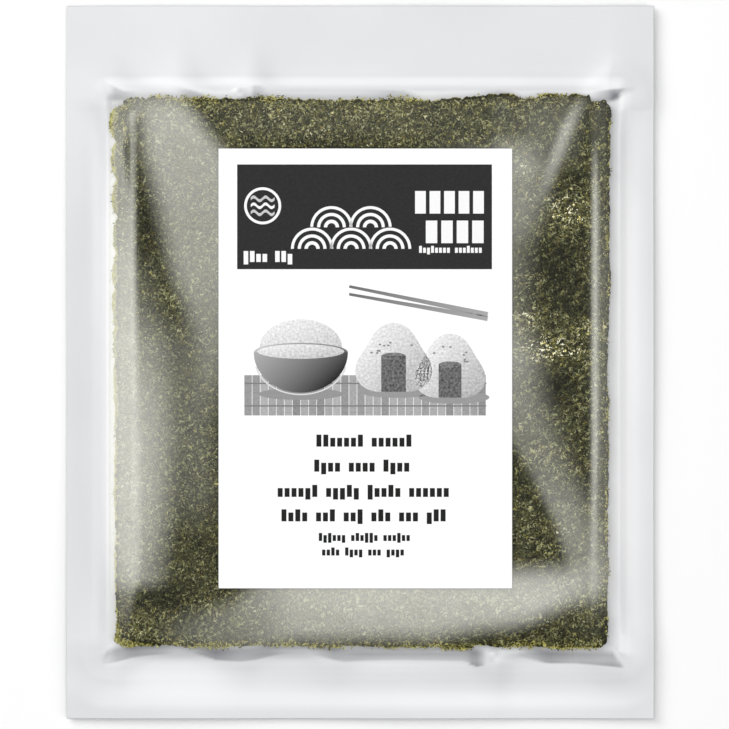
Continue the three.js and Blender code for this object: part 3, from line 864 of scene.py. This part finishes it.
def scatterFlakes(name, count, seed, meanLength, widths, tones, material):
    # Chips thrown evenly over the sheets outside the label. Where the top sheet steps in they lie on
    # the sheet below it. Under the film's painted highlights they are painted lighter and less golden,
    # and on the lobes at the left they are lighter.
    rng = np.random.default_rng(seed)
    corners = np.array(seaweed["topCorners"] + seaweed["lowerCorners"])
    x, y = rng.uniform(corners.min(0), corners.max(0), (2 * count, 2)).T
    onTop = insideSheet(x, y, "topCorners") > flakeShape["inset"]
    onLower = insideSheet(x, y, "lowerCorners") > flakeShape["lowerInset"]
    shows = (underLabel(x, y) < 0.999) & (onTop | onLower)
    x, y, onTop = x[shows][:count], y[shows][:count], onTop[shows][:count]
    z = sheetRoom(x, y) - np.where(onTop, flakeShape["sink"], flakeShape["lowerSink"])
    power = flakeShape["lengthPower"]
    length = rng.gamma(power, meanLength / power, len(x)) + flakeShape["shortest"]
    width = rng.uniform(*widths, len(x))
    glint, paintedHighlight = glintShare(x, y), paintedHighlightShare(x, y)
    onLobe = smoothShare(-x, *flakeShape["lobeRun"]) * ~onTop
    lobeTone, lobeGold = flakeShape["lobeGain"]
    patchRng = np.random.default_rng(flakeShape["patchSeed"])
    patch = areaWaves(x, y, flakeShape["patches"], patchRng)
    least, more = flakeShape["patchGain"]
    patch = patch * (least + more * smoothShare(x, *flakeShape["patchRun"]))
    # Under the film's painted highlights the flakes are painted lighter.
    tone = np.minimum(rng.beta(*tones, len(x)) * (1 + patch), 1) + paintedHighlight * flakeShape["highlightGain"]
    spark = rng.uniform(0, 1, len(x)) ** flakeShape["glintPower"] * flakeShape["glintGain"]
    tone = tone + np.where(glint > 0, glint * spark, glint) + lobeTone * onLobe
    rise = rng.uniform(*flakeShape["rises"], len(x))
    points, faces, tone = chips(x, y, z, length, width, rise, tone, rng)
    gold = rng.beta(*flakeShape["golds"], len(x)) * (1 + flakeShape["goldGlint"] * np.maximum(glint, 0))
    # Under the painted highlights they are painted less golden too.
    gold = np.minimum(gold * (1 - paintedHighlight) + lobeGold * onLobe, 1)
    piece = makeMesh(name, points, faces, {"tone": tone, "gold": np.repeat(gold, 4)}, smooth=False)
    return finishPiece(piece, material, "pouch")


crumbShape = {
    "edgeSeed": 44, "lowerSeed": 45, "count": 4800,
    "knots": 60,  # changes between thick and thin round a sheet
    "crowdPower": 3.5, "fewer": (0.88, 0.7), "sideRun": (86, 90),  # fewer at the left and the right
    "corner": (-89, -104, 20, 1.5),  # x, y, squared radius and weight of the thickest place
    "spread": (0.2, 0.5), "sideSpread": 0.4, "inward": (-0.1, 0.8), "inset": 0.4, "depth": 0.5,
    "lengths": (0.5, 1.4), "widths": (0.3, 0.8), "rises": (0.1, 0.3), "tones": (-0.1, 1.3),
}


def makeCrumbs(name, outline, seed, material):
    # Yellow-green crumbs along a torn outline, thick in some places and thin in others, few on the
    # left and right, and most at the bottom left corner.
    rng = np.random.default_rng(seed)
    crowd = 0.5 + 0.5 * loopNoise(len(outline), crumbShape["knots"], rng)
    onSide = smoothShare(np.abs(outline[:, 0]), *crumbShape["sideRun"])
    cornerX, cornerY, area, more = crumbShape["corner"]
    atCorner = np.exp(-((outline[:, 0] - cornerX) ** 2 + (outline[:, 1] - cornerY) ** 2) / area)
    fewer = np.where(outline[:, 0] < 0, *crumbShape["fewer"]) * onSide
    weight = crowd ** crumbShape["crowdPower"] * (1 - fewer) + more * atCorner
    count = crumbShape["count"]
    pick = rng.choice(len(outline), count, p=weight / np.sum(weight))
    least, wider = crumbShape["spread"]
    spread = (least + wider * crowd[pick]) * (1 - crumbShape["sideSpread"] * onSide[pick])
    inward = -outline[pick] / np.abs(outline[pick]).max(1)[:, None]
    x, y = (outline[pick] + inward * rng.uniform(*crumbShape["inward"], (count, 1))).T
    x, y = keepInside(*(np.stack([x, y]) + rng.normal(0, 1, (2, count)) * spread), crumbShape["inset"])
    z = sheetRoom(x, y) - rng.uniform(0, crumbShape["depth"], count)
    length, width, rise, tone = (rng.uniform(*crumbShape[key], count)
                                 for key in ("lengths", "widths", "rises", "tones"))
    points, faces, tone = chips(x, y, z, length, width, rise, tone, rng)
    piece = makeMesh(name, points, faces, {"tone": tone}, smooth=False)
    return finishPiece(piece, material, "pouch")


labelShape = {
    "cell": 2.5, "thickness": 0.2, "lift": 0.12, "trimX": 0.4, "trimY": 0.7,
    "inkThickness": 0.004, "inkLift": 0.02, "inkStep": 0.012, "inkCell": 3.0,
}
printShape = {  # places run from the label's middle
    "seed": 3, "white": 0.95, "dark": 0.012,  # greys of the header
    "discPoints": 21, "arcPoints": 49, "wavePoints": 33, "stickPoints": 13,
    "band": (-47.7, 36.9, 94.8, 39.0),  # left, bottom, width, height
    "ring": (-38.2, 60.5, 6.9, 5.9),  # x, y, outer and inner radius
    "scales": [(-12.6, 52.5), (1.9, 52.5), (-19.8, 44.5), (-5.3, 44.5), (9.2, 44.5)],  # x, y
    "scaleRadius": 8.2,
    "bars": [(18.5, 57.6, 27.0, 8.4, 5), (22.5, 46.6, 23.0, 8.4, 4)],  # left, bottom, width, height, count
    "smallWords": [(32.0, 43.0, 24.0, 1.9), (-35.0, 39.6, 20.5, 3.0)],  # middle, bottom, width, height
    "words": [  # bottom, width, height of a low letter, number of words
        (-29.1, 36.4, 3.3, 2), (-38.4, 38.0, 3.3, 3), (-47.8, 65.2, 3.3, 4), (-56.9, 62.4, 3.3, 6),
        (-64.2, 34.6, 2.2, 3), (-69.6, 32.2, 2.2, 4),
    ],
    "mat": (-45.0, -17.5, 90.0, 15.0, 30),  # left, bottom, width, height, number of slats
    "bowl": (-24.0, 6.0, 17.5, 15.0),  # x and y of the rim's middle, radius, depth
    "riceBalls": [(10.5, 2.5, 13.5), (31.5, -0.5, 12.5)],  # x, y, radius
    "sticks": [(-6.0, 30.5, 45.5, 20.0), (-6.0, 27.6, 45.5, 18.6)],  # both ends
}


def labelTop(x, y):
    # The paper lies just above the film.
    return packTop(x, y) + labelShape["lift"] + labelShape["thickness"]


def makeLabel():
    # The paper, a little smaller than the room kept for it, follows the film below it.
    lowX, highX = labelLow[0] + labelShape["trimX"], labelHigh[0] - labelShape["trimX"]
    lowY, highY = labelLow[1] + labelShape["trimY"], labelHigh[1] - labelShape["trimY"]
    xs = np.linspace(lowX, highX, int((highX - lowX) / labelShape["cell"]) + 1)
    ys = np.linspace(lowY, highY, int((highY - lowY) / labelShape["cell"]) + 1)
    x, y = np.meshgrid(xs, ys)
    paper = makeMesh("labelPaper", np.stack([x, y, labelTop(x, y)], -1), gridFaces(*x.shape), smooth=False)
    return finishPiece(thicken(paper, labelShape["thickness"]), paperMaterial(), "label")


class Print:
    # Collects inked patches of the label. A patch is a grid of points, each with a grey.
    def __init__(self):
        self.points, self.faces, self.greys, self.grains = [], [], [], []
        self.count = 0
        self.layer = 0  # a higher layer lies on the lower ones

    def patch(self, x, y, grey, grain=0.02):
        placedX = x + (labelLow[0] + labelHigh[0]) / 2
        placedY = y + (labelLow[1] + labelHigh[1]) / 2
        z = labelTop(placedX, placedY) + labelShape["inkLift"] + labelShape["inkStep"] * self.layer
        self.points.append(np.stack([placedX, placedY, z], -1).reshape(-1, 3))
        self.faces.append(gridFaces(*x.shape) + self.count)
        self.greys.append(np.broadcast_to(grey, x.shape).ravel())
        self.grains.append(np.full(x.size, grain))
        self.count += x.size

    def block(self, left, bottom, width, height, grey, grain=0.02):
        # A rectangle.
        across = np.linspace(left, left + width, 2 + int(width / labelShape["inkCell"]))
        along = np.linspace(bottom, bottom + height, 2 + int(height / labelShape["inkCell"]))
        self.patch(*np.meshgrid(across, along), grey, grain)

    def disc(self, x, y, radiusX, radiusY, grey, slope=(0, 0), grain=0.02, points=0.0, half=False):
        # A square grid u, v pressed into a disc: u sqrt(1 - v^2/2), v sqrt(1 - u^2/2). points
        # pulls it to a triangle with round corners, and slope is the grey's rise along u and v.
        count = printShape["discPoints"]
        u, v = np.meshgrid(np.linspace(-1, 1, count), np.linspace(0 if half else -1, 1, count))
        roundX, roundY = u * np.sqrt(1 - v * v / 2), v * np.sqrt(1 - u * u / 2)
        reach = 1 + points * np.cos(3 * (np.arctan2(roundY, roundX) - np.pi / 2)) * np.hypot(roundX, roundY)
        tone = np.clip(grey + slope[0] * roundX + slope[1] * roundY, 0, 1)
        self.patch(x + radiusX * roundX * reach, y + radiusY * roundY * reach, tone, grain)

    def arc(self, x, y, outer, inner, grey, start=0.0, turn=2 * np.pi, squeeze=1.0):
        # A band between two radii.
        angles = start + np.linspace(0, turn, printShape["arcPoints"])
        angle, radius = np.meshgrid(angles, np.array([inner, outer]))
        self.patch(x + radius * np.cos(angle), y + squeeze * radius * np.sin(angle), grey)

    def wave(self, x, y, length, width, height, grey, waves=2.0):
        # A band along a sine curve.
        places = np.linspace(-0.5, 0.5, printShape["wavePoints"])
        along, side = np.meshgrid(places, np.array([-0.5, 0.5]))
        rise = height * np.sin(along * waves * 2 * np.pi)
        self.patch(x + along * length, y + rise + side * width, grey)

    def stick(self, startX, startY, endX, endY, startWidth, endWidth, grey):
        # A tapering bar between two points.
        places = np.linspace(0, 1, printShape["stickPoints"])
        share, side = np.meshgrid(places, np.array([-0.5, 0.5]))
        length = math.hypot(endX - startX, endY - startY)
        acrossX, acrossY = (startY - endY) / length, (endX - startX) / length
        width = (startWidth + (endWidth - startWidth) * share) * side
        self.patch(startX + (endX - startX) * share + acrossX * width,
                   startY + (endY - startY) * share + acrossY * width, grey)

    def words(self, middle, bottom, width, height, wordCount, grey, rng):
        # A row of upright blocks, in words, that stands for a line of print.
        pitch = height * 0.78
        places = int(width / pitch)
        gaps = set(np.linspace(0, places, wordCount + 1)[1:-1].astype(int).tolist())
        for number in range(places):
            if number in gaps:
                continue
            rise = rng.choice([1.0, 1.0, 1.0, 1.36])
            drop = rng.choice([0.0, 0.0, 0.0, 0.3])
            self.block(middle - width / 2 + number * pitch, bottom - drop * height, pitch * 0.72,
                       height * (rise + drop), grey)

    def piece(self):
        values = {"grey": np.concatenate(self.greys), "grain": np.concatenate(self.grains)}
        made = makeMesh("labelPrint", np.concatenate(self.points), np.concatenate(self.faces), values,
                        smooth=False)
        return finishPiece(thicken(made, labelShape["inkThickness"]), inkMaterial(), "label")


def printHeader(ink, rng):
    # A dark band with a ring of waves, overlapping scales of arcs, and plain bars.
    white, dark = printShape["white"], printShape["dark"]
    ink.block(*printShape["band"], dark)
    ink.layer = 1
    x, y, outer, inner = printShape["ring"]
    ink.arc(x, y, outer, inner, white)
    for step, grey in [(-2.6, 0.6), (0.0, white), (2.6, 0.6)]:
        ink.wave(x, y + step, 1.5 * inner, 1.1, 0.7, grey)
    radius = printShape["scaleRadius"]
    for number, (x, y) in enumerate(printShape["scales"]):
        ink.layer = 2 + 2 * (number >= 2)
        ink.disc(x, y, radius, radius, dark, half=True)
        ink.layer += 1
        for share in (1.0, 0.68, 0.36):
            ink.arc(x, y, radius * share * 0.96, radius * (share - 0.17), white, 0, np.pi)
    for left, bottom, width, height, count in printShape["bars"]:
        for number in range(count):
            ink.block(left + width * number / count, bottom, width / count * 0.74, height, white)
    for middle, bottom, width, height in printShape["smallWords"]:
        ink.words(middle, bottom, width, height, 2, white, rng)


def printPicture(ink, rng):
    # A slatted mat with a bowl of rice, two wrapped rice balls and a pair of sticks, in greys.
    left, bottom, width, height, slats = printShape["mat"]
    ink.layer = 1
    for number in range(slats):
        grey = rng.uniform(0.26, 0.46)
        ink.block(left + width * number / slats, bottom, width / slats * 0.93, height, grey, 0.25)
    ink.layer = 2
    for share in (0.22, 0.78):
        ink.block(left, bottom + height * share, width, 0.5, 0.2)
    ink.layer = 3
    for startX, startY, endX, endY in printShape["sticks"]:
        greys = np.linspace(0.15, 0.4, printShape["stickPoints"])
        ink.stick(startX, startY, endX, endY, 1.0, 2.0, greys[None, :])
    x, y, radius, depth = printShape["bowl"]
    ink.disc(x, y - depth - 0.5, radius * 0.9, 2.2, 0.3, grain=0.1)
    ink.layer = 4
    ink.disc(x, y + 1.5, radius * 0.88, radius * 0.62, 0.68, slope=(-0.08, 0.16), grain=0.9, half=True)
    ink.layer = 5
    ink.disc(x, y, radius, -depth, 0.24, slope=(-0.18, -0.16), half=True)
    ink.disc(x, y, radius, radius * 0.2, 0.34, slope=(-0.2, 0.0))
    ink.layer = 6
    ink.disc(x, y + 0.3, radius * 0.92, radius * 0.155, 0.7, slope=(-0.1, 0.1), grain=0.9)
    ink.arc(x, y - depth * 0.2, radius * 0.985, radius * 0.95, 0.75, np.pi * 1.06, np.pi * 0.88, 0.75)
    for x, y, radius in printShape["riceBalls"]:
        ink.layer = 3
        ink.disc(x + 1.5, y - radius * 0.82, radius * 1.05, 2.4, 0.32, grain=0.1)
        ink.layer = 7
        ink.disc(x, y, radius, radius * 0.95, 0.66, slope=(-0.14, 0.14), grain=0.8, points=0.13)
        ink.layer = 8
        ink.block(x - radius * 0.34, y - radius * 0.83, radius * 0.68, radius * 0.98, 0.13, 0.5)
        ink.disc(x, y + radius * 0.15, radius * 0.34, radius * 0.1, 0.2, grain=0.5)
        for number in range(9):
            angle, away = rng.uniform(0.35, 2.8), rng.uniform(0.45, 0.8) * radius
            ink.disc(x + away * np.cos(angle), y + away * np.sin(angle) * 0.9, 0.5, 0.35, 0.25)


def makePrint():
    # The header, the picture and the lines of words, all in one piece of ink.
    rng = np.random.default_rng(printShape["seed"])
    ink = Print()
    printHeader(ink, rng)
    printPicture(ink, rng)
    ink.layer = 0
    for bottom, width, height, wordCount in printShape["words"]:
        ink.words(0.0, bottom, width, height, wordCount, 0.0, rng)
    return ink.piece()


studio = {
    "floor": 0.84, "floorReach": 3000, "floorDrop": 0.05, "world": 0.18,
    "cameraHeight": 1.52, "lens": 200.0, "aimX": 1.59, "aimY": -0.84,
    "boxes": [  # name, place, side, radiance
        ("overBox", (0.0, 0.0, 1.9), 1.6, 2.9),
        ("keyBox", (-0.86, 0.68, 0.95), 0.9, 5.2),
        ("fillBox", (0.9, -0.45, 0.8), 0.8, 1.8),
    ],
}


def makeFloor():
    # One flat square.
    reach, z = studio["floorReach"], -studio["floorDrop"]
    points = [(-reach, -reach, z), (reach, -reach, z), (reach, reach, z), (-reach, reach, z)]
    floor = makeMesh("floor", points, np.array([[0, 1, 2, 3]]))
    material, wire = newMaterial("floorWhite")
    wire.surface(wire.node("ShaderNodeBsdfDiffuse", None, {"Color": (studio["floor"],) * 3 + (1,)}))
    floor.data.materials.append(material)


def makeLights():
    # An even white world, and square boxes that face the pack. A box's power is its radiance times
    # pi times its area.
    world = bpy.data.worlds.new("studioAir")
    world.use_nodes = True
    air = world.node_tree.nodes["Background"].inputs
    air["Color"].default_value = (1, 1, 1, 1)
    air["Strength"].default_value = studio["world"]
    bpy.context.scene.world = world
    for name, place, side, radiance in studio["boxes"]:
        light = bpy.data.lights.new(name, "AREA")
        light.shape = "SQUARE"
        light.size = side
        light.energy = radiance * math.pi * side * side
        box = bpy.data.objects.new(name, light)
        box.location = place
        box.rotation_euler = Vector(place).to_track_quat("Z", "Y").to_euler()
        bpy.context.scene.collection.objects.link(box)


def makeCamera():
    # Straight above the pack, looking down.
    camera = bpy.data.objects.new("camera", bpy.data.cameras.new("camera"))
    camera.data.lens = studio["lens"]
    camera.location = (studio["aimX"] * mm, studio["aimY"] * mm, studio["cameraHeight"])
    bpy.context.scene.collection.objects.link(camera)
    bpy.context.scene.camera = camera
    bpy.context.scene.view_settings.view_transform = "Standard"


makeCamera()
makeLights()
makeFloor()
print("studio is set")
makePaleFilm()
makeClearFilm()
print("films are made")
sheetColours = seaweedMaterial("sheetColours")
looseOutlines = makeLowerSheets(sheetColours)
tornOutline = makeTopSheet(sheetColours)
chipColours = {name: flakeMaterial(name) for name in ("flakeColours", "crumbColours", "fibreColours")}
for *settings, colours in flakeShape["kinds"]:
    scatterFlakes(*settings, chipColours[colours])
makeCrumbs("edgeCrumbs", tornOutline, crumbShape["edgeSeed"], chipColours["crumbColours"])
makeCrumbs("lowerCrumbs", looseOutlines, crumbShape["lowerSeed"], chipColours["crumbColours"])
print("seaweed is made")
makeLabel()
makePrint()
print("label is made")
